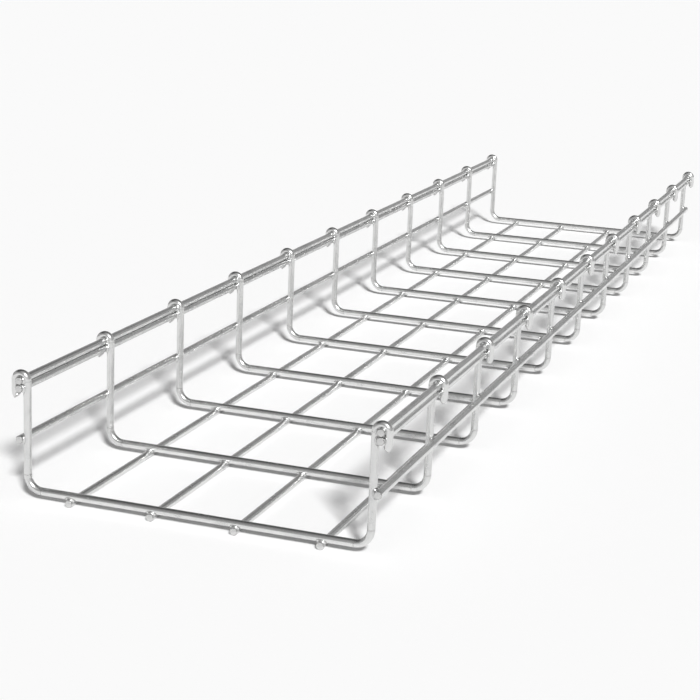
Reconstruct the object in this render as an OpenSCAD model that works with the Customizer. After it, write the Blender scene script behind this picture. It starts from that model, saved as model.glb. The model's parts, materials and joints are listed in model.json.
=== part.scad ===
// Wire mesh cable basket: a length of welded-wire cable tray.
// U-shaped cross wires carry straight base, side and edge wires, and each end
// of a cross wire is hooked outwards over a stacked pair of edge wires.
// X runs across the tray, Y along it and Z up. The origin is on the surface the
// tray rests on, under its middle.

/* [Tray] */
// Clear width between the uprights of the cross wires
inner_width = 200; // [120:10:400]
// Overall height, from the underside of the base wires to the top of the hooks
tray_height = 75.5; // [55:0.5:130]
// Number of cross wires along the tray
cross_wire_count = 11; // [3:1:31]
// Distance from one cross wire to the next
cross_wire_pitch = 100; // [40:5:150]
// Length of each straight wire beyond the centre of the last cross wire
end_overhang = 3.5; // [3:0.5:25]

/* [Wires] */
// Diameter of the bent cross wires
cross_wire_d = 4.5; // [3.5:0.25:6]
// Diameter of the straight base wires
base_wire_d = 4.5; // [3.5:0.25:6]
// Diameter of the straight side wires
side_wire_d = 4.5; // [3.5:0.25:6]
// Diameter of the straight edge wires held in the hooks
edge_wire_d = 4.5; // [3.5:0.25:6]
// How far two crossing wires are pressed into each other by welding
weld_sink = 0.8; // [0.3:0.05:1]

/* [Base and sides] */
// Number of base wires
base_wire_count = 4; // [2:1:4]
// Distance from one base wire to the next
base_wire_pitch = 50; // [20:1:50]
// Height of the side wires' centres above the underside
side_wire_height = 35.5; // [26:0.5:42]
// Radius of the two lower bends of a cross wire, at its centre line
corner_radius = 9; // [6:0.5:14]

/* [Hooks] */
// Clearance between the two stacked edge wires
edge_pair_gap = 0.1; // [0.05:0.05:0.5]
// How far a hook runs straight down past the centre of the lower edge wire
tip_drop = 2; // [2:0.25:4]
// How far the tip of a hook then curls inwards, in degrees
tip_wrap = 50; // [20:5:60]

/* [Hidden] */
$fn = 48;

cross_r = cross_wire_d / 2;
edge_r = edge_wire_d / 2;
run_length = (cross_wire_count - 1) * cross_wire_pitch + 2 * end_overhang;

// Centre lines of the cross wires.
base_bar_z = base_wire_d + cross_r - weld_sink;
upright_x = inner_width / 2 + cross_r;

// Centre lines of the straight wires, each sunk into the cross wires it crosses.
base_wire_z = base_wire_d / 2;
side_wire_x = upright_x + cross_r + side_wire_d / 2 - weld_sink;
hook_radius = cross_r + edge_r - weld_sink;
edge_wire_x = upright_x + hook_radius;
upper_edge_z = tray_height - cross_r - hook_radius;
lower_edge_z = upper_edge_z - edge_wire_d - edge_pair_gap;
tip_bend_z = lower_edge_z - tip_drop;

SIDE_NAMES = ["left", "right"];
SIDE_SIGNS = [-1, 1];
CROSS_NODES = [for (i = [1:cross_wire_count]) str("cross_wire_", i < 10 ? "0" : "", i)];
BASE_NODES = [for (i = [1:base_wire_count]) str("base_wire_", i)];
SIDE_NODES = [for (s = SIDE_NAMES) str("side_wire_", s)];
UPPER_EDGE_NODES = [for (s = SIDE_NAMES) str("upper_edge_wire_", s)];
LOWER_EDGE_NODES = [for (s = SIDE_NAMES) str("lower_edge_wire_", s)];

function cross_wire_y(i) = (i - (cross_wire_count - 1) / 2) * cross_wire_pitch;
function base_wire_x(i) = (i - (base_wire_count - 1) / 2) * base_wire_pitch;

// A straight wire along Y, the full length of the tray.
module run_wire(x, z, d) {
    color("silver")
        translate([x, 0, z])
            rotate([90, 90, 0])
                cylinder(d = d, h = run_length, center = true);
}

module base_wire(i) {
    run_wire(base_wire_x(i), base_wire_z, base_wire_d);
}

module side_wire(side) {
    run_wire(side * side_wire_x, side_wire_height, side_wire_d);
}

module upper_edge_wire(side) {
    run_wire(side * edge_wire_x, upper_edge_z, edge_wire_d);
}

module lower_edge_wire(side) {
    run_wire(side * edge_wire_x, lower_edge_z, edge_wire_d);
}

module straight_wires() {
    for (i = [0:base_wire_count - 1])
        base_wire(i);
    for (side = SIDE_SIGNS) {
        side_wire(side);
        upper_edge_wire(side);
        lower_edge_wire(side);
    }
}

// An arc of cross wire in the XZ plane, from one angle to another about its centre.
module wire_bend(x, z, radius, from, to) {
    translate([x, 0, z])
        rotate([90, 0, 0])
            rotate_extrude(angle = to - from, start = from)
                translate([radius, 0])
                    circle(d = cross_wire_d);
}

// A straight upright stretch of cross wire.
module wire_upright(x, bottom, top) {
    translate([x, 0, bottom])
        cylinder(d = cross_wire_d, h = top - bottom);
}

module base_bar() {
    rotate([0, 90, 0])
        translate([-base_bar_z, 0, 0])
            cylinder(d = cross_wire_d, h = 2 * (upright_x - corner_radius), center = true);
}

// One wall of a cross wire: lower bend, upright, and the hook over the edge wires.
module wall_with_hook() {
    wire_bend(upright_x - corner_radius, base_bar_z + corner_radius, corner_radius, -90, 0);
    wire_upright(upright_x, base_bar_z + corner_radius, upper_edge_z);
    wire_bend(edge_wire_x, upper_edge_z, hook_radius, 0, 180);
    wire_upright(edge_wire_x + hook_radius, tip_bend_z, upper_edge_z);
    wire_bend(edge_wire_x, tip_bend_z, hook_radius, -tip_wrap, 0);
}

// A bent cross wire, with the seats that the straight wires are welded into.
module cross_wire(i) {
    color("silver")
        translate([0, cross_wire_y(i), 0])
            difference() {
                union() {
                    base_bar();
                    wall_with_hook();
                    mirror([1, 0, 0])
                        wall_with_hook();
                }
                translate([0, -cross_wire_y(i), 0])
                    straight_wires();
            }
}

for (i = [0:cross_wire_count - 1])
    cross_wire(i);
for (i = [0:base_wire_count - 1])
    base_wire(i);
for (s = [0, 1])
    side_wire(SIDE_SIGNS[s]);
for (s = [0, 1])
    upper_edge_wire(SIDE_SIGNS[s]);
for (s = [0, 1])
    lower_edge_wire(SIDE_SIGNS[s]);
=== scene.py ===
"""The looks of the wire mesh cable basket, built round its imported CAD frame.

Every wire of the basket is swept again with a true round section, sheared ends
and bend marks, and every crossing gets the web of metal that a resistance weld
squeezes out. All of it is finished as bright zinc plating on drawn steel wire.
"""

import json
import logging
import math
from dataclasses import dataclass, field
from enum import Enum
from typing import Any

import bmesh
import bpy
import numpy as np
from mathutils import Euler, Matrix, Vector


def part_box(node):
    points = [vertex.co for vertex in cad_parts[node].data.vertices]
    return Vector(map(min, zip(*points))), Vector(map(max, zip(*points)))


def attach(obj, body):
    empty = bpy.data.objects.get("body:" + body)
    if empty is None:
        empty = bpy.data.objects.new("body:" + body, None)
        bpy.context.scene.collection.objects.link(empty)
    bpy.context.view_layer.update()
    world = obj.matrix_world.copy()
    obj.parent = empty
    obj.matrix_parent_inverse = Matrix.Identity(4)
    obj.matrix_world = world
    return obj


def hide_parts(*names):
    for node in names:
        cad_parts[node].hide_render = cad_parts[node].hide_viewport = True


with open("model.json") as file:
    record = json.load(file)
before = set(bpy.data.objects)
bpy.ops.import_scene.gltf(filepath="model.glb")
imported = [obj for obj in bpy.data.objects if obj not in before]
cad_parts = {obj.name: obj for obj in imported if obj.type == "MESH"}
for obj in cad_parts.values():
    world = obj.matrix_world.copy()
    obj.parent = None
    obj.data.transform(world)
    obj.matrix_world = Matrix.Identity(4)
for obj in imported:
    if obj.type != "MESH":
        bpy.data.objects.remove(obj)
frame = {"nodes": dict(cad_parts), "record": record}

LOG = logging.getLogger("cable_basket")
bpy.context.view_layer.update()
MM = 0.001

WELD_SINK = 0.8 * MM
SECTION_SIDES = 28
BEAD_SEEDS = (1, 2, 3)
FIRST_CROSS_SEED = 11
FIRST_STRAIGHT_SEED = 51

# Where a wire gets extra rings, from a weld and from a bend mark.
WELD_RINGS = tuple(d * MM for d in (-7.0, -4.5, -2.8, -1.4, 0.0, 1.4, 2.8, 4.5, 7.0))
MARK_RINGS = tuple(d * MM for d in (-0.55, -0.25, 0.0, 0.25, 0.55))
RING_GAP = 0.12 * MM
# How far plain rings keep from a sheared end, in lengths of the shear.
END_CLEAR = 1.5
TIP_CLEAR = 1.3

# The colour sockets of a Mix node, and the whole-number output of a Random Value node.
MIX_FACTOR, MIX_A, MIX_B, MIX_RESULT = 0, 6, 7, 2
RANDOM_WHOLE = 2


class Wall(Enum):
    """The two walls of the basket, with the sign of their X."""

    LEFT = -1
    RIGHT = 1


class WireTone(Enum):
    """How light the plating came out on each kind of wire."""

    CROSS = 0.0
    BASE = 0.25
    SIDE = 0.45
    EDGE = 0.7


# ---------------------------------------------------------------- shader maths


class Socket:
    """A shader socket on which Python operators add Math nodes."""

    def __init__(self, tree: bpy.types.NodeTree, link: bpy.types.NodeSocket) -> None:
        """Wrap a socket.

        Args:
            tree: The node tree the socket belongs to.
            link: The output socket.
        """
        self.tree = tree
        self.link = link

    def math(self, operation: str, *values: "Socket | float") -> "Socket":
        """Add a Math node.

        Args:
            operation: The Math node's operation.
            values: Its inputs in order, sockets or numbers.

        Returns:
            The node's result.
        """
        node = self.tree.nodes.new("ShaderNodeMath")
        node.operation = operation
        for socket, value in zip(node.inputs, values):
            if isinstance(value, Socket):
                self.tree.links.new(value.link, socket)
            else:
                socket.default_value = value
        return Socket(self.tree, node.outputs[0])

    def __add__(self, other: "Socket | float") -> "Socket":
        """Return self + other."""
        return self.math("ADD", self, other)

    def __sub__(self, other: "Socket | float") -> "Socket":
        """Return self - other."""
        return self.math("SUBTRACT", self, other)

    def __rsub__(self, other: "Socket | float") -> "Socket":
        """Return other - self."""
        return self.math("SUBTRACT", other, self)

    def __mul__(self, other: "Socket | float") -> "Socket":
        """Return self * other."""
        return self.math("MULTIPLY", self, other)

    __rmul__ = __mul__

    def between(self, low: float, high: float) -> "Socket":
        """Return 0 below low, 1 above high, and a smooth rise between."""
        node = self.tree.nodes.new("ShaderNodeMapRange")
        node.interpolation_type = "SMOOTHSTEP"
        self.tree.links.new(self.link, node.inputs["Value"])
        node.inputs["From Min"].default_value = low
        node.inputs["From Max"].default_value = high
        return Socket(self.tree, node.outputs["Result"])


class ShaderGraph:
    """A material's node tree, to which nodes are added by one method."""

    def __init__(self, name: str) -> None:
        """Make an empty material.

        Args:
            name: The material's name.
        """
        self.material = bpy.data.materials.new(name)
        self.material.use_nodes = True
        self.tree = self.material.node_tree
        self.tree.nodes.clear()

    def node(
        self,
        kind: str,
        settings: dict[str, Any] | None = None,
        values: dict[str, Any] | None = None,
        output: str | int = 0,
    ) -> Socket:
        """Add a node.

        Args:
            kind: The node's type.
            settings: Attributes that are set on the node first.
            values: Input names to sockets, numbers or tuples.
            output: The name or index of the output that is wanted.

        Returns:
            That output.
        """
        node = self.tree.nodes.new(kind)
        for name, value in (settings or {}).items():
            setattr(node, name, value)
        for name, value in (values or {}).items():
            socket = node.inputs[name]
            if isinstance(value, Socket):
                self.tree.links.new(value.link, socket)
            else:
                socket.default_value = value
        return Socket(self.tree, node.outputs[output])

    def attribute(self, name: str, output: str = "Fac") -> Socket:
        """Return a mesh attribute as a number, or as a vector with output "Vector"."""
        return self.node(
            "ShaderNodeAttribute", {"attribute_name": name, "attribute_type": "GEOMETRY"}, output=output
        )

    def stretched(self, vector: Socket, scale: tuple[float, float, float]) -> Socket:
        """Return vector with each of its axes scaled."""
        return self.node(
            "ShaderNodeVectorMath", {"operation": "MULTIPLY"}, {0: vector, 1: scale}, output="Vector"
        )

    def noise(
        self, vector: Socket, stretch: tuple[float, float, float], size: float, **values: float
    ) -> Socket:
        """Add a noise pattern.

        Args:
            vector: Where the pattern is looked up.
            stretch: How each axis of vector is scaled first.
            size: The size of the pattern's grain.
            values: Other inputs of the noise, by name.

        Returns:
            The pattern, about 0 to 1.
        """
        given = {"Vector": self.stretched(vector, stretch), "Scale": 1 / size, **values}
        return self.node("ShaderNodeTexNoise", values=given, output="Fac")

    def mixed(self, factor: Socket, a: "Socket | tuple", b: "Socket | tuple") -> Socket:
        """Mix two colours.

        Args:
            factor: 0 for the first colour, 1 for the second.
            a: The first colour.
            b: The second colour.

        Returns:
            The mixed colour.
        """
        node = self.tree.nodes.new("ShaderNodeMix")
        node.data_type = "RGBA"
        self.tree.links.new(factor.link, node.inputs[MIX_FACTOR])
        for socket, value in ((node.inputs[MIX_A], a), (node.inputs[MIX_B], b)):
            if isinstance(value, Socket):
                self.tree.links.new(value.link, socket)
            else:
                socket.default_value = value
        return Socket(self.tree, node.outputs[MIX_RESULT])

    def close(self, shader: Socket) -> bpy.types.Material:
        """Join a shader to the output and return the material."""
        out = self.tree.nodes.new("ShaderNodeOutputMaterial")
        self.tree.links.new(shader.link, out.inputs["Surface"])
        return self.material


# ------------------------------------------------------------------- finishes


@dataclass(frozen=True)
class BrightZinc:
    """Bright zinc plating on drawn steel wire."""

    name: str = "bright_zinc"
    clean: tuple[float, float, float, float] = (0.74, 0.74, 0.735, 1.0)
    cloudy: tuple[float, float, float, float] = (0.57, 0.575, 0.575, 1.0)
    welded: tuple[float, float, float, float] = (0.52, 0.515, 0.50, 1.0)
    # The darkest colour, at the bending tool's marks and as painted shade round the rim of each sheared end.
    marked_and_rim_shade: tuple[float, float, float, float] = (0.30, 0.295, 0.29, 1.0)
    metallic: float = 0.95
    roughness: float = 0.2
    draw_line_width: float = 0.45 * MM
    cloud_size: float = 5 * MM
    batch_length: float = 90 * MM
    rub_size: float = 1.6 * MM
    cloud_range: tuple[float, float] = (0.42, 0.68)
    batch_range: tuple[float, float] = (0.35, 0.7)
    rub_range: tuple[float, float] = (0.62, 0.74)
    heat_range: tuple[float, float] = (0.15, 0.95)
    heat_patches: float = 0.7
    heat_floor: float = 0.65
    cloud_share: float = 0.55
    batch_share: float = 0.3
    tone_share: float = 0.15
    weld_blend: float = 0.75
    mark_blend: float = 0.8
    cloud_dulling: float = 0.12
    line_dulling: float = 0.05
    weld_dulling: float = 0.16
    mark_dulling: float = 0.1
    rub_shine: float = 0.07
    line_height: float = 0.5
    cloud_height: float = 0.9
    rub_height: float = 0.25
    mark_depth: float = 1.2
    weld_height: float = 1.6
    bump_strength: float = 0.22
    bump_distance: float = 0.04 * MM

    def build(self) -> bpy.types.Material:
        """Build the material.

        Returns:
            The finished material.
        """
        g = ShaderGraph(self.name)
        along = g.attribute("wire_coord", "Vector")
        heat = g.attribute("heat")
        mark = g.attribute("mark")
        tone = g.attribute("tone")

        lines = g.noise(along, (1.0, 1.0, 0.02), self.draw_line_width, Detail=2.0)
        clouds = g.noise(along, (1.0, 1.0, 0.45), self.cloud_size, Detail=4.0, Roughness=0.62)
        batch = g.noise(along, (0.2, 0.2, 1.0), self.batch_length, Detail=2.0)
        rubs = g.noise(along, (1.0, 1.0, 0.16), self.rub_size, Detail=1.0)

        rub_mask = rubs.between(*self.rub_range)
        cloudiness = (
            clouds.between(*self.cloud_range) * self.cloud_share
            + batch.between(*self.batch_range) * self.batch_share
            + tone * self.tone_share
        )
        colour = g.mixed(cloudiness, self.clean, self.cloudy)
        heat_mask = (heat * (clouds * self.heat_patches + self.heat_floor)).between(*self.heat_range)
        colour = g.mixed(heat_mask * self.weld_blend, colour, self.welded)
        # Darken the bend marks, and paint shade round the rim of each sheared end.
        colour = g.mixed(mark * self.mark_blend, colour, self.marked_and_rim_shade)

        roughness = (
            cloudiness * self.cloud_dulling
            + (lines - 0.5) * self.line_dulling
            + heat_mask * self.weld_dulling
            + mark * self.mark_dulling
            - rub_mask * self.rub_shine
            + self.roughness
        )
        height = (
            lines * self.line_height
            + clouds * self.cloud_height
            + rub_mask * self.rub_height
            - mark * self.mark_depth
            + heat * clouds * self.weld_height
        )
        bump = g.node(
            "ShaderNodeBump",
            values={
                "Strength": self.bump_strength,
                "Distance": self.bump_distance,
                "Height": height,
            },
            output="Normal",
        )
        shader = g.node(
            "ShaderNodeBsdfPrincipled",
            values={
                "Base Color": colour,
                "Metallic": self.metallic,
                "Roughness": roughness,
                "Normal": bump,
            },
            output="BSDF",
        )
        return g.close(shader)


@dataclass(frozen=True)
class StudioPaper:
    """The matt white paper that covers the studio floor."""

    name: str = "studio_paper"
    colour: tuple[float, float, float, float] = (0.97, 0.97, 0.97, 1.0)

    def build(self) -> bpy.types.Material:
        """Build the material.

        Returns:
            The finished material.
        """
        g = ShaderGraph(self.name)
        shader = g.node(
            "ShaderNodeBsdfDiffuse", values={"Color": self.colour, "Roughness": 0.0}, output="BSDF"
        )
        return g.close(shader)


# ----------------------------------------------------------------- wire shapes


@dataclass
class WireCourse:
    """The centre line of one wire, with what changes along it."""

    points: np.ndarray
    run: np.ndarray
    crossings: list[float]
    bends: list[float]
    radius: float
    shear: float = 0.35 * MM
    heat_reach: float = 3.2 * MM
    mark_width: float = 0.55 * MM
    bend_mark: float = 0.6
    end_face_mark: float = 0.25
    # Where the ring of painted shade round each sheared end's rim sits, and how far it reaches, in lengths
    # of the shear.
    rim_shade_place: float = 0.4
    rim_shade_reach: float = 0.7

    def heat(self) -> np.ndarray:
        """Return how much each point was heated by the nearest weld, 0 to 1."""
        gap = np.min(np.abs(self.run[:, None] - np.array(self.crossings)[None, :]), axis=1)
        return np.exp(-((gap / self.heat_reach) ** 2))

    def mark(self) -> np.ndarray:
        """Return how strongly each point is marked by the bending tool, or darkened round each sheared end's
        rim for its burr and as painted shade, 0 to 1.
        """
        inset = self.shear * self.rim_shade_place
        ends = [self.run[0] + inset, self.run[-1] - inset]
        reach = self.shear * self.rim_shade_reach
        found = np.zeros(len(self.run))
        for place in self.bends:
            near = np.clip(1 - np.abs(self.run - place) / self.mark_width, 0, 1)
            found = np.maximum(found, near * self.bend_mark)
        # The rim of each sheared end is darkened in full: painted shade like a shaded edge, partly standing
        # for the shear's burr.
        for place in ends:
            found = np.maximum(found, (np.abs(self.run - place) < reach) * 1.0)
        found[0] = found[-1] = self.end_face_mark
        return found

    def reach(self) -> np.ndarray:
        """Return each ring's radius as a share of the wire's, drawn in at the sheared ends."""
        share = np.ones(len(self.run))
        share[0] = share[-1] = 1 - self.shear / self.radius
        return share

    def guide(self, name: str) -> bpy.types.Object:
        """Make the guide that the sweep follows.

        Args:
            name: The guide's name.

        Returns:
            An object whose mesh is the centre line, with its attributes.
        """
        mesh = bpy.data.meshes.new(name)
        edges = [(i, i + 1) for i in range(len(self.points) - 1)]
        mesh.from_pydata([tuple(p) for p in self.points], edges, [])
        for key, values in (("reach", self.reach()), ("heat", self.heat()), ("mark", self.mark())):
            mesh.attributes.new(key, "FLOAT", "POINT").data.foreach_set(
                "value", values.astype(np.float32)
            )
        guide = bpy.data.objects.new(name, mesh)
        bpy.context.scene.collection.objects.link(guide)
        return guide


def stations(start: float, end: float, spacing: float, close: list[float], marks: list[float]) -> np.ndarray:
    """Choose where a wire gets its rings.

    Args:
        start: The run at which the wire starts, in metres.
        end: The run at which it ends.
        spacing: The distance between rings on a plain stretch.
        close: Runs of the welds, where the rings are closer together.
        marks: Runs of the bend marks, which get rings of their own.

    Returns:
        The sorted runs of the rings.
    """
    found = list(np.linspace(start, end, max(2, round((end - start) / spacing)) + 1))
    for place in close:
        found += [place + d for d in WELD_RINGS]
    for place in marks:
        found += [place + d for d in MARK_RINGS]
    shear = WireCourse.shear
    inner = [s for s in found if start + shear * END_CLEAR < s < end - shear * END_CLEAR]
    inner = sorted(inner + [start + shear, end - shear])
    kept = [start]
    for s in inner + [end]:
        if s - kept[-1] > RING_GAP:
            kept.append(s)
    kept[-1] = end
    return np.array(kept)


@dataclass
class WeldBead:
    """The web of metal round the crossing of two welded wires."""

    name: str
    radius: float
    sink: float
    fillet: float = 1.05 * MM
    unevenness: float = 0.12
    seed: int = 1
    around: int = 40
    across: int = 6
    waves: int = 5
    lump_scale: float = 1.6
    least_twist: float = 1e-4
    overlap: float = 0.06
    core: float = 0.72

    def build(self) -> bpy.types.Object:
        """Build the web as a closed ring, with one wire along X above and one along Y below.

        Returns:
            The ring, centred on the crossing.
        """
        rng = np.random.default_rng(self.seed)
        theta = np.arange(self.around) * 2 * math.pi / self.around
        lumps = sum(
            rng.uniform(-1, 1) * np.cos(k * theta + rng.uniform(0, 2 * math.pi))
            for k in range(1, self.waves + 1)
        )
        fillet = self.fillet * (1 + self.unevenness * lumps / self.lump_scale)
        half = (2 * self.radius - self.sink) / 2
        reach = self.radius + fillet
        twist = np.cos(2 * theta)
        total = 2 * reach**2 - 2 * half**2
        safe = np.where(np.abs(twist) < self.least_twist, self.least_twist, twist)
        wide = 4 * half**2
        squared = (np.sqrt(1 + 2 * safe**2 * total / wide) - 1) * wide / safe**2
        rho = np.sqrt(squared)
        centre = np.stack(
            [rho * np.cos(theta), rho * np.sin(theta), -squared * twist / (4 * half)], axis=1
        )
        over = np.stack([np.zeros_like(rho), centre[:, 1], centre[:, 2] - half], axis=1)
        under = np.stack([centre[:, 0], np.zeros_like(rho), centre[:, 2] + half], axis=1)
        over /= np.linalg.norm(over, axis=1)[:, None]
        under /= np.linalg.norm(under, axis=1)[:, None]
        spread = np.arccos(np.clip((over * under).sum(axis=1), -1, 1))[:, None]
        rings = []
        for t in np.linspace(-self.overlap, 1 + self.overlap, self.across):
            facing = (np.sin((1 - t) * spread) * over + np.sin(t * spread) * under) / np.sin(spread)
            rings.append(centre - facing * fillet[:, None])
        rings.append((rings[0] + rings[-1]) / 2 * self.core)
        return self.joined(rings)

    def joined(self, rings: list[np.ndarray]) -> bpy.types.Object:
        """Join rings of points into a closed ring-shaped skin.

        Args:
            rings: The rings, in order round the web's section.

        Returns:
            The object.
        """
        bm = bmesh.new()
        rows = [[bm.verts.new(p) for p in ring] for ring in rings]
        for i, row in enumerate(rows):
            after = rows[(i + 1) % len(rows)]
            for j in range(self.around):
                k = (j + 1) % self.around
                bm.faces.new((row[j], row[k], after[k], after[j])).smooth = True
        bmesh.ops.recalc_face_normals(bm, faces=bm.faces)
        if bm.calc_volume(signed=True) < 0:
            bmesh.ops.reverse_faces(bm, faces=bm.faces)
        mesh = bpy.data.meshes.new(self.name)
        bm.to_mesh(mesh)
        bm.free()
        bead = bpy.data.objects.new(self.name, mesh)
        bpy.context.scene.collection.objects.link(bead)
        return bead


class SweepTree:
    """The Geometry Nodes tree that sweeps a wire along its guide and sets its weld beads."""

    def __init__(self, beads: list[bpy.types.Object], finish: bpy.types.Material, sides: int) -> None:
        """Build the tree.

        Args:
            beads: The shapes of weld bead to choose from.
            finish: The material of the wire.
            sides: How many sides the round section has.
        """
        self.tree = bpy.data.node_groups.new("drawn_wire", "GeometryNodeTree")
        self.key("Geometry", "NodeSocketGeometry")
        self.radius = self.key("Wire Radius", "NodeSocketFloat")
        self.tone = self.key("Tone", "NodeSocketFloat")
        self.welds = self.key("Weld Points", "NodeSocketObject")
        self.seed = self.key("Seed", "NodeSocketInt")
        self.key("Geometry", "NodeSocketGeometry", "OUTPUT")
        given = self.tree.nodes.new("NodeGroupInput")
        result = self.tree.nodes.new("NodeGroupOutput")

        wire = self.add("GeometryNodeMeshToCurve", Mesh=given.outputs["Geometry"])
        run = self.add("GeometryNodeSplineParameter")
        wire = self.stored(wire.outputs[0], "run", "FLOAT", run.outputs["Length"])
        radius = given.outputs["Wire Radius"]
        ring = self.add("GeometryNodeCurvePrimitiveCircle", Resolution=sides, Radius=radius)
        place = self.add("GeometryNodeInputPosition")
        ring = self.stored(ring.outputs[0], "section", "FLOAT_VECTOR", place.outputs[0])
        swept = self.add(
            "GeometryNodeCurveToMesh",
            **{"Curve": wire, "Profile Curve": ring, "Scale": self.named("reach"), "Fill Caps": True},
        )
        rise = self.add("ShaderNodeCombineXYZ", Z=self.named("run"))
        total = self.add("ShaderNodeVectorMath")
        self.tree.links.new(self.named("section", "FLOAT_VECTOR"), total.inputs[0])
        self.tree.links.new(rise.outputs[0], total.inputs[1])
        swept = self.stored(swept.outputs[0], "wire_coord", "FLOAT_VECTOR", total.outputs[0])

        shapes = self.add("GeometryNodeJoinGeometry")
        for bead in reversed(beads):
            info = self.add("GeometryNodeObjectInfo", **{"Object": bead, "As Instance": True})
            self.tree.links.new(info.outputs["Geometry"], shapes.inputs[0])
        points = self.add("GeometryNodeObjectInfo", Object=given.outputs["Weld Points"])
        choice = self.tree.nodes.new("FunctionNodeRandomValue")
        choice.data_type = "INT"
        whole_low, whole_high = (i for i in choice.inputs if i.enabled and i.name in ("Min", "Max"))
        whole_low.default_value, whole_high.default_value = 0, len(beads) - 1
        self.tree.links.new(given.outputs["Seed"], choice.inputs["Seed"])
        angles = self.add("ShaderNodeCombineXYZ", Y=self.named("turn"))
        turn = self.add("FunctionNodeEulerToRotation", Euler=angles.outputs[0])
        set_beads = self.add(
            "GeometryNodeInstanceOnPoints",
            **{
                "Points": points.outputs["Geometry"],
                "Instance": shapes.outputs[0],
                "Pick Instance": True,
                "Instance Index": choice.outputs[RANDOM_WHOLE],
                "Rotation": turn.outputs[0],
            },
        )
        loose = self.add("GeometryNodeRealizeInstances", Geometry=set_beads.outputs[0])
        loose = self.stored(loose.outputs[0], "heat", "FLOAT", 1.0)
        loose = self.stored(loose, "wire_coord", "FLOAT_VECTOR", place.outputs[0])

        whole = self.add("GeometryNodeJoinGeometry")
        self.tree.links.new(loose, whole.inputs[0])
        self.tree.links.new(swept, whole.inputs[0])
        toned = self.stored(whole.outputs[0], "tone", "FLOAT", given.outputs["Tone"])
        real = self.add("GeometryNodeRealizeInstances", Geometry=toned)
        dressed = self.add("GeometryNodeSetMaterial", Geometry=real.outputs[0], Material=finish)
        self.tree.links.new(dressed.outputs[0], result.inputs["Geometry"])

    def key(self, name: str, kind: str, direction: str = "INPUT") -> str:
        """Add an input or output to the tree.

        Args:
            name: Its name.
            kind: Its socket type.
            direction: "INPUT" or "OUTPUT".

        Returns:
            The key by which a modifier sets it.
        """
        return self.tree.interface.new_socket(name, in_out=direction, socket_type=kind).identifier

    def add(self, kind: str, **values: Any) -> bpy.types.Node:
        """Add a node.

        Args:
            kind: The node's type.
            values: Input names to sockets or plain values.

        Returns:
            The node.
        """
        node = self.tree.nodes.new(kind)
        for name, value in values.items():
            if isinstance(value, bpy.types.NodeSocket):
                self.tree.links.new(value, node.inputs[name])
            else:
                node.inputs[name].default_value = value
        return node

    def named(self, name: str, kind: str = "FLOAT") -> bpy.types.NodeSocket:
        """Return the field of a named attribute."""
        node = self.tree.nodes.new("GeometryNodeInputNamedAttribute")
        node.data_type = kind
        node.inputs["Name"].default_value = name
        return node.outputs["Attribute"]

    def stored(
        self, geometry: bpy.types.NodeSocket, name: str, kind: str, value: "bpy.types.NodeSocket | float"
    ) -> bpy.types.NodeSocket:
        """Store a named attribute on points.

        Args:
            geometry: The geometry to store it on.
            name: The attribute's name.
            kind: Its data type.
            value: Its value or field.

        Returns:
            The geometry with the attribute.
        """
        node = self.tree.nodes.new("GeometryNodeStoreNamedAttribute")
        node.data_type = kind
        node.domain = "POINT"
        node.inputs["Name"].default_value = name
        self.tree.links.new(geometry, node.inputs["Geometry"])
        if isinstance(value, bpy.types.NodeSocket):
            self.tree.links.new(value, node.inputs["Value"])
        else:
            node.inputs["Value"].default_value = value
        return node.outputs["Geometry"]

    def sweep(
        self,
        course: WireCourse,
        name: str,
        tone: float,
        welds: list[tuple[float, float, float, float]],
        seed: int,
    ) -> bpy.types.Object:
        """Sweep one wire and turn the result into a plain mesh.

        Args:
            course: The wire's centre line.
            name: The piece's name.
            tone: How cloudy this wire's plating is, 0 to 1.
            welds: The crossings that get a bead: x, y, z and the turn about Y.
            seed: The seed that chooses the beads.

        Returns:
            The finished piece, at the origin.
        """
        guide = course.guide(name + "_guide")
        spots = bpy.data.meshes.new(name + "_welds")
        spots.from_pydata([w[:3] for w in welds], [], [])
        spots.attributes.new("turn", "FLOAT", "POINT").data.foreach_set(
            "value", np.array([w[3] for w in welds], np.float32)
        )
        spot_object = bpy.data.objects.new(name + "_welds", spots)
        bpy.context.scene.collection.objects.link(spot_object)
        modifier = guide.modifiers.new("sweep", "NODES")
        modifier.node_group = self.tree
        modifier[self.radius] = course.radius
        modifier[self.tone] = tone
        modifier[self.welds] = spot_object
        modifier[self.seed] = seed
        graph = bpy.context.evaluated_depsgraph_get()
        mesh = bpy.data.meshes.new_from_object(guide.evaluated_get(graph), depsgraph=graph)
        mesh.name = name
        for spare in ("run", "section", "reach", "turn"):
            if spare in mesh.attributes:
                mesh.attributes.remove(mesh.attributes[spare])
        guide.modifiers.remove(modifier)
        for helper in (guide, spot_object):
            data = helper.data
            bpy.data.objects.remove(helper)
            bpy.data.meshes.remove(data)
        piece = bpy.data.objects.new(name, mesh)
        bpy.context.scene.collection.objects.link(piece)
        return piece


# ------------------------------------------------------------------- the wires


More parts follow.
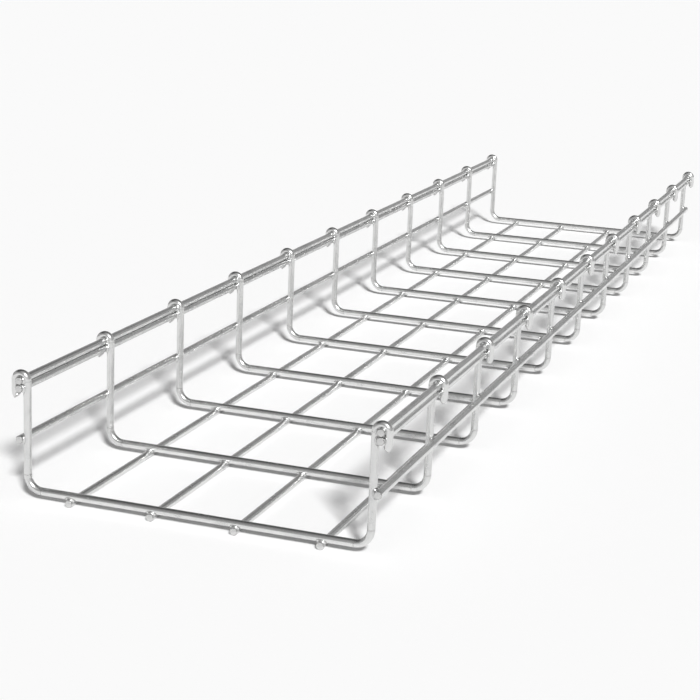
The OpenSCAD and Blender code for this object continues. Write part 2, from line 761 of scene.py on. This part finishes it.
@dataclass
class StraightWire:
    """A straight wire along the basket, sheared at both ends."""

    node: str
    tone: WireTone
    spacing: float = 14 * MM
    skin: float = 0.004 * MM
    tone_spread: float = 0.3

    def centre(self) -> Vector:
        """Return the middle of the wire."""
        low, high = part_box(self.node)
        return (low + high) / 2

    def course(self, crossings: list[float]) -> WireCourse:
        """Lay out the centre line.

        Args:
            crossings: The Y of each cross wire.

        Returns:
            The wire's course.
        """
        low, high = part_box(self.node)
        middle = self.centre()
        run = stations(low.y, high.y, self.spacing, crossings, [])
        points = np.stack([np.full_like(run, middle.x), run, np.full_like(run, middle.z)], axis=1)
        return WireCourse(points, run, crossings, [], (high.z - low.z) / 2 - self.skin)

    def build(self, sweeps: SweepTree, crossings: list[float], seed: int) -> bpy.types.Object:
        """Build the wire and put it in its CAD node's place.

        Args:
            sweeps: The tree that sweeps wires.
            crossings: The Y of each cross wire.
            seed: The seed for its tone.

        Returns:
            The finished piece.
        """
        tone = self.tone.value + self.tone_spread * np.random.default_rng(seed).uniform()
        piece = sweeps.sweep(self.course(crossings), self.node + "_drawn", float(tone), [], seed)
        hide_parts(self.node)
        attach(piece, "root")
        return piece


@dataclass
class CrossWire:
    """A cross wire bent to a U, with a hook over the edge wires at each end."""

    node: str
    wire: float
    upright_x: float
    base_z: float
    edge_x: float
    upper_edge_z: float
    lower_edge_z: float
    side_z: float
    base_wires: list[float]
    corner_radius: float = 9 * MM
    tip_drop: float = 2.0 * MM
    tip_wrap: float = math.radians(50)
    spacing: float = 9 * MM
    bend_step: float = math.radians(7)
    skin: float = 0.004 * MM
    tone_spread: float = 0.35
    mark_lead: float = 0.4 * MM
    bend_clear: float = 0.3 * MM
    end_slack: float = 0.01 * MM
    least_gap: float = 0.02 * MM
    bends: list[float] = field(default_factory=list)
    welds: list[float] = field(default_factory=list)

    def y(self) -> float:
        """Return where the wire stands along the basket."""
        low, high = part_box(self.node)
        return (low.y + high.y) / 2

    def half(self) -> tuple[np.ndarray, np.ndarray]:
        """Lay out the right half of the centre line, from the middle to the right tip.

        Returns:
            The points as X and Z, and the run of each from the middle.
        """
        hook = self.edge_x - self.upright_x
        corner = self.corner_radius
        flat = self.upright_x - corner
        rise = self.upper_edge_z - (self.base_z + corner)
        arc = corner * math.pi / 2
        turn_start = flat + arc + rise
        drop_start = turn_start + hook * math.pi
        tip_start = drop_start + self.upper_edge_z - self.lower_edge_z + self.tip_drop
        end = tip_start + hook * self.tip_wrap
        up_from = flat + arc - (self.base_z + corner)
        self.bends = [flat, flat + arc, turn_start - self.mark_lead]
        self.welds = [x for x in self.base_wires if x > 0]
        self.welds += [up_from + z for z in (self.side_z, self.lower_edge_z, self.upper_edge_z)]

        run = stations(0.0, end, self.spacing, self.welds, self.bends)
        for start, length, angle in (
            (flat, arc, math.pi / 2),
            (turn_start, hook * math.pi, math.pi),
            (tip_start, hook * self.tip_wrap, self.tip_wrap),
        ):
            count = max(2, round(angle / self.bend_step))
            curved = np.linspace(start, start + length, count + 1)
            run = run[(run < start - self.bend_clear) | (run > start + length + self.bend_clear)]
            if start + length >= end - self.end_slack:
                shear = WireCourse.shear
                curved = np.append(curved[curved < end - shear * TIP_CLEAR], [end - shear, end])
            run = np.union1d(run, curved)
        extra = [p + d for p in self.bends for d in MARK_RINGS if d]
        run = np.union1d(run, extra)
        run = run[np.append(True, np.diff(run) > self.least_gap)]

        points = []
        for s in run:
            if s <= flat:
                points.append((s, self.base_z))
            elif s <= flat + arc:
                a = (s - flat) / corner
                points.append((flat + corner * math.sin(a), self.base_z + corner * (1 - math.cos(a))))
            elif s <= turn_start:
                points.append((self.upright_x, s - up_from))
            elif s <= drop_start:
                a = (s - turn_start) / hook
                points.append(
                    (self.edge_x - hook * math.cos(a), self.upper_edge_z + hook * math.sin(a))
                )
            elif s <= tip_start:
                points.append((self.edge_x + hook, self.upper_edge_z - (s - drop_start)))
            else:
                a = (s - tip_start) / hook
                low = self.lower_edge_z - self.tip_drop
                points.append((self.edge_x + hook * math.cos(a), low - hook * math.sin(a)))
        return np.array(points), run

    def course(self) -> WireCourse:
        """Lay out the whole centre line, from the left tip to the right one.

        Returns:
            The wire's course.
        """
        half, run = self.half()
        left = half[1:][::-1] * (-1, 1)
        flat = np.concatenate([left, half])
        whole_run = np.concatenate([-run[1:][::-1], run])
        points = np.stack([flat[:, 0], np.full(len(flat), self.y()), flat[:, 1]], axis=1)
        both = [-s for s in self.welds] + self.welds
        marks = [-s for s in self.bends] + self.bends
        return WireCourse(points, whole_run, both, marks, self.wire / 2 - self.skin)

    def bead_places(self) -> list[tuple[float, float, float, float]]:
        """List where weld beads go.

        Returns:
            For each bead its x, y, z and its turn about Y.
        """
        y = self.y()
        hook = self.edge_x - self.upright_x
        found = [(x, y, self.base_z - hook / 2, 0.0) for x in self.base_wires]
        for wall in Wall:
            x = wall.value * (self.upright_x + self.edge_x) / 2
            turn = -wall.value * math.pi / 2
            found += [(x, y, z, turn) for z in (self.side_z, self.lower_edge_z, self.upper_edge_z)]
        return found

    def build(self, sweeps: SweepTree, seed: int) -> bpy.types.Object:
        """Build the wire with its weld beads and put it in its CAD node's place.

        Args:
            sweeps: The tree that sweeps wires.
            seed: The seed that chooses its beads and tone.

        Returns:
            The finished piece.
        """
        tone = WireTone.CROSS.value + self.tone_spread * np.random.default_rng(seed).uniform()
        piece = sweeps.sweep(self.course(), self.node + "_bent", float(tone), self.bead_places(), seed)
        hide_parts(self.node)
        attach(piece, "root")
        return piece


@dataclass
class CableBasket:
    """The whole basket: cross wires, base wires, side wires and stacked edge wires."""

    sweeps: SweepTree
    cross_nodes: list[str] = field(init=False)
    base_nodes: list[str] = field(init=False)

    def __post_init__(self) -> None:
        """Sort the CAD nodes by kind."""
        names = sorted(frame["nodes"])
        self.cross_nodes = [n for n in names if n.startswith("cross_wire_")]
        self.base_nodes = [n for n in names if n.startswith("base_wire_")]

    def cross_wire(self, node: str) -> CrossWire:
        """Size one cross wire from the CAD boxes.

        Args:
            node: The cross wire's CAD node.

        Returns:
            The sized cross wire.
        """
        base = StraightWire(self.base_nodes[0], WireTone.BASE)
        low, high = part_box(self.base_nodes[0])
        wire = high.z - low.z
        upper = StraightWire("upper_edge_wire_right", WireTone.EDGE).centre()
        lower = StraightWire("lower_edge_wire_right", WireTone.EDGE).centre()
        side = StraightWire("side_wire_right", WireTone.SIDE).centre()
        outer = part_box(node)[1].x
        hook = outer - wire / 2 - upper.x
        return CrossWire(
            node=node,
            wire=wire,
            upright_x=upper.x - hook,
            base_z=base.centre().z + hook,
            edge_x=upper.x,
            upper_edge_z=upper.z,
            lower_edge_z=lower.z,
            side_z=side.z,
            base_wires=[StraightWire(n, WireTone.BASE).centre().x for n in self.base_nodes],
        )

    def straight_wires(self) -> list[StraightWire]:
        """List the straight wires."""
        wires = [StraightWire(n, WireTone.BASE) for n in self.base_nodes]
        for wall in Wall:
            side = wall.name.lower()
            wires.append(StraightWire(f"side_wire_{side}", WireTone.SIDE))
            wires.append(StraightWire(f"upper_edge_wire_{side}", WireTone.EDGE))
            wires.append(StraightWire(f"lower_edge_wire_{side}", WireTone.EDGE))
        return wires

    def build(self) -> list[bpy.types.Object]:
        """Build every wire.

        Returns:
            The pieces.
        """
        crosses = [self.cross_wire(node) for node in self.cross_nodes]
        places = sorted(c.y() for c in crosses)
        pieces = [c.build(self.sweeps, seed) for seed, c in enumerate(crosses, start=FIRST_CROSS_SEED)]
        for seed, wire in enumerate(self.straight_wires(), start=FIRST_STRAIGHT_SEED):
            pieces.append(wire.build(self.sweeps, places, seed))
        return pieces


# ------------------------------------------------------------------ the studio


@dataclass(frozen=True)
class SoftLight:
    """A far lamp whose width softens the edges of its shadows."""

    name: str
    direction: tuple[float, float, float]
    spread: float
    level: float
    distance: float = 3.0

    def place(self) -> bpy.types.Object:
        """Hang the lamp.

        Returns:
            The lamp.
        """
        data = bpy.data.lights.new(self.name, "SUN")
        data.angle = math.radians(self.spread)
        towards = Vector(self.direction).normalized()
        data.energy = self.level * math.pi
        lamp = bpy.data.objects.new(self.name, data)
        lamp.location = towards * self.distance
        lamp.rotation_mode = "QUATERNION"
        lamp.rotation_quaternion = towards.to_track_quat("Z", "Y")
        bpy.context.scene.collection.objects.link(lamp)
        return lamp


@dataclass(frozen=True)
class Studio:
    """The floor, the lamps, the pale surroundings and the camera."""

    floor_reach: float = 90.0
    floor_drop: float = 0.02 * MM
    sky_dark: float = 0.02
    sky_bright: float = 0.42
    sky_band: float = 0.42
    sky_horizon: float = 0.08
    sky_low: float = 0.9
    sky_front: tuple[float, float, float] = (0.7, -0.6, 0.35)
    front_range: tuple[float, float] = (-0.1, 0.75)
    ring_rise: tuple[float, float] = (0.0, 0.25)
    ring_fade: tuple[float, float] = (0.35, 0.65)
    strip_fade: tuple[float, float] = (0.0, 0.12)
    camera_place: tuple[float, float, float] = (0.36894, -1.31745, 0.33374)
    camera_turn: tuple[float, float, float] = (75.5214, -2.3094, 19.6719)
    sensor_width: float = 36.0
    lens: float = 89.253
    lamps: tuple[SoftLight, ...] = (
        SoftLight("key", (0.44, -0.68, 0.6), 9.0, 1.22),
    )

    def floor(self) -> None:
        """Lay the floor."""
        mesh = bpy.data.meshes.new("floor")
        r = self.floor_reach
        z = -self.floor_drop
        mesh.from_pydata([(-r, -r, z), (r, -r, z), (r, r, z), (-r, r, z)], [], [(0, 1, 2, 3)])
        mesh.materials.append(StudioPaper().build())
        floor = bpy.data.objects.new("floor", mesh)
        bpy.context.scene.collection.objects.link(floor)

    def surroundings(self) -> None:
        """Make the surroundings: dark overhead, brighter in front, and bright low down."""
        world = bpy.data.worlds.new("surroundings")
        world.use_nodes = True
        bpy.context.scene.world = world
        tree = world.node_tree
        tree.nodes.clear()
        where = Socket(tree, tree.nodes.new("ShaderNodeTexCoord").outputs["Generated"])
        split = tree.nodes.new("ShaderNodeSeparateXYZ")
        tree.links.new(where.link, split.inputs[0])
        x, y, z = (Socket(tree, split.outputs[axis]) for axis in "XYZ")
        front = Vector(self.sky_front).normalized()
        facing = (x * front.x + y * front.y + z * front.z).between(*self.front_range)
        sky = facing * (self.sky_bright - self.sky_dark) + self.sky_dark
        ring = z.between(*self.ring_rise) * (self.sky_band - self.sky_horizon) + self.sky_horizon
        sky = sky.math("MAXIMUM", sky, ring * (1 - z.between(*self.ring_fade)))
        sky = sky.math("MAXIMUM", sky, self.sky_low * (1 - z.between(*self.strip_fade)))
        background = tree.nodes.new("ShaderNodeBackground")
        tree.links.new(sky.link, background.inputs["Color"])
        out = tree.nodes.new("ShaderNodeOutputWorld")
        tree.links.new(background.outputs[0], out.inputs["Surface"])

    def camera(self) -> None:
        """Set up the camera."""
        data = bpy.data.cameras.new("camera")
        data.sensor_width = self.sensor_width
        data.lens = self.lens
        camera = bpy.data.objects.new("camera", data)
        camera.location = self.camera_place
        camera.rotation_euler = Euler([math.radians(a) for a in self.camera_turn], "XYZ")
        bpy.context.scene.collection.objects.link(camera)
        bpy.context.scene.camera = camera

    def build(self) -> None:
        """Set up everything round the basket."""
        self.floor()
        self.surroundings()
        self.camera()
        for lamp in self.lamps:
            lamp.place()
        bpy.context.scene.view_settings.view_transform = "Standard"


def main() -> None:
    """Build the basket and the studio."""
    logging.basicConfig(level=logging.INFO, format="%(name)s: %(message)s")
    Studio().build()
    record = frame["record"]
    LOG.info("building %s", record["type"])
    low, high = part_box("base_wire_1")
    radius = (high.z - low.z) / 2
    beads = [WeldBead(f"bead_{k}", radius, WELD_SINK, seed=k).build() for k in BEAD_SEEDS]
    sweeps = SweepTree(beads, BrightZinc().build(), SECTION_SIDES)
    for piece in CableBasket(sweeps).build():
        LOG.info("%s: %d faces", piece.name, len(piece.data.polygons))
    for bead in beads:
        bpy.data.objects.remove(bead)


if __name__ == "__main__":
    main()
